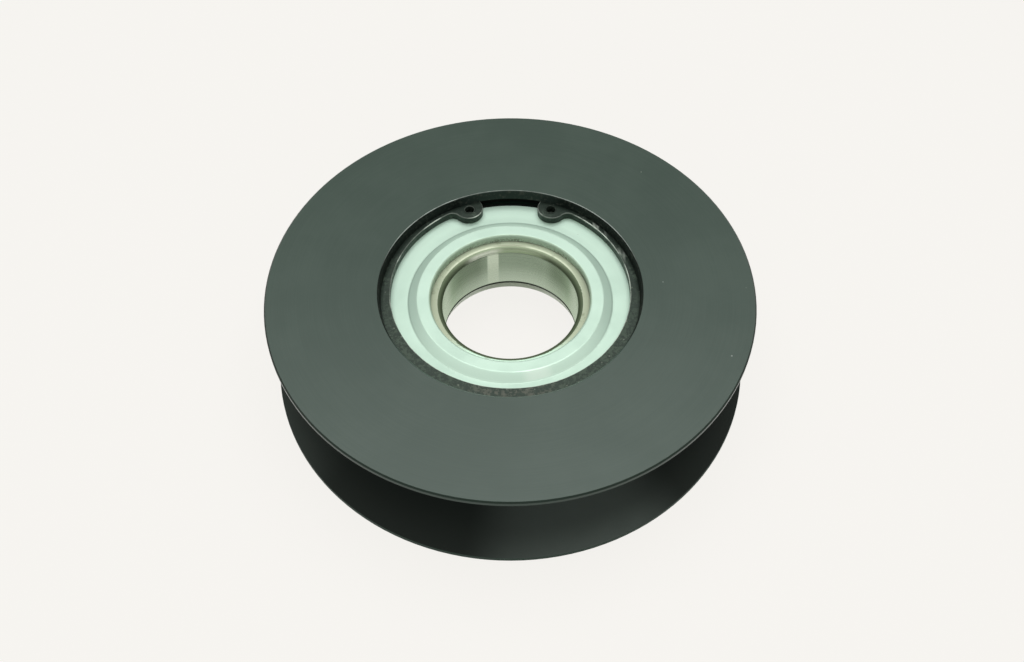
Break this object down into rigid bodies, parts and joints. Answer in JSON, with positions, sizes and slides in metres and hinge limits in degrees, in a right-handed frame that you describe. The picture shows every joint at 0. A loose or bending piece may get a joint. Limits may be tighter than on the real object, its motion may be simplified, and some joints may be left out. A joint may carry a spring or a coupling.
{
  "type": "plastic roller",
  "caption": "Black plastic rope roller with a deep groove, turning on a ball bearing that sealing discs and a retaining ring hold in its hub.",
  "frame": {"origin": "middle of the roller, on its axis", "axes": "+Z along the axis towards the retaining ring, +Y towards the gap of the retaining ring"},
  "size_m": [0.16, 0.16, 0.037],
  "materials": {
    "black_plastic": "turned, satin",
    "bearing_steel": "ground",
    "ball_steel": "polished",
    "cage_steel": "pressed",
    "plated_steel": "plated, satin",
    "spring_steel": "blackened and oiled"
  },
  "bodies": {
    "inner_ring": {"bearing_inner_ring": "bearing_steel"},
    "roller": {"roller": "black_plastic", "bearing_outer_ring": "bearing_steel", "upper_seal_disc": "plated_steel", "lower_seal_disc": "plated_steel", "retaining_ring": "spring_steel"},
    "cage": {"cage_upper_half": "cage_steel", "cage_lower_half": "cage_steel", "cage_rivets": "cage_steel"},
    "ball_1": {"ball_1": "ball_steel"},
    "ball_2": {"ball_2": "ball_steel"},
    "ball_3": {"ball_3": "ball_steel"},
    "ball_4": {"ball_4": "ball_steel"},
    "ball_5": {"ball_5": "ball_steel"},
    "ball_6": {"ball_6": "ball_steel"},
    "ball_7": {"ball_7": "ball_steel"},
    "ball_8": {"ball_8": "ball_steel"},
    "ball_9": {"ball_9": "ball_steel"}
  },
  "joints": [
    {"name": "roller_spin", "type": "hinge", "parent": "inner_ring", "child": "roller", "pos_m": [0, 0, 0.0015], "axis": [0, 0, 1], "continuous": true},
    {"name": "cage_spin", "type": "hinge", "parent": "inner_ring", "child": "cage", "pos_m": [0, 0, 0.0015], "axis": [0, 0, 1], "continuous": true},
    {"name": "ball_1_spin", "type": "hinge", "parent": "cage", "child": "ball_1", "pos_m": [0, 0.0325, 0.0015], "axis": [0, 0, 1], "continuous": true},
    {"name": "ball_2_spin", "type": "hinge", "parent": "cage", "child": "ball_2", "pos_m": [-0.02089, 0.0249, 0.0015], "axis": [0, 0, 1], "continuous": true},
    {"name": "ball_3_spin", "type": "hinge", "parent": "cage", "child": "ball_3", "pos_m": [-0.03201, 0.00564, 0.0015], "axis": [0, 0, 1], "continuous": true},
    {"name": "ball_4_spin", "type": "hinge", "parent": "cage", "child": "ball_4", "pos_m": [-0.02815, -0.01625, 0.0015], "axis": [0, 0, 1], "continuous": true},
    {"name": "ball_5_spin", "type": "hinge", "parent": "cage", "child": "ball_5", "pos_m": [-0.01112, -0.03054, 0.0015], "axis": [0, 0, 1], "continuous": true},
    {"name": "ball_6_spin", "type": "hinge", "parent": "cage", "child": "ball_6", "pos_m": [0.01112, -0.03054, 0.0015], "axis": [0, 0, 1], "continuous": true},
    {"name": "ball_7_spin", "type": "hinge", "parent": "cage", "child": "ball_7", "pos_m": [0.02815, -0.01625, 0.0015], "axis": [0, 0, 1], "continuous": true},
    {"name": "ball_8_spin", "type": "hinge", "parent": "cage", "child": "ball_8", "pos_m": [0.03201, 0.00564, 0.0015], "axis": [0, 0, 1], "continuous": true},
    {"name": "ball_9_spin", "type": "hinge", "parent": "cage", "child": "ball_9", "pos_m": [0.02089, 0.0249, 0.0015], "axis": [0, 0, 1], "continuous": true}
  ],
  "couplings": [
    {"joint": "cage_spin", "follows": "roller_spin", "ratio": 0.59769},
    {"joint": "ball_1_spin", "follows": "roller_spin", "ratio": 2.4614},
    {"joint": "ball_2_spin", "follows": "roller_spin", "ratio": 2.4614},
    {"joint": "ball_3_spin", "follows": "roller_spin", "ratio": 2.4614},
    {"joint": "ball_4_spin", "follows": "roller_spin", "ratio": 2.4614},
    {"joint": "ball_5_spin", "follows": "roller_spin", "ratio": 2.4614},
    {"joint": "ball_6_spin", "follows": "roller_spin", "ratio": 2.4614},
    {"joint": "ball_7_spin", "follows": "roller_spin", "ratio": 2.4614},
    {"joint": "ball_8_spin", "follows": "roller_spin", "ratio": 2.4614},
    {"joint": "ball_9_spin", "follows": "roller_spin", "ratio": 2.4614}
  ]
}
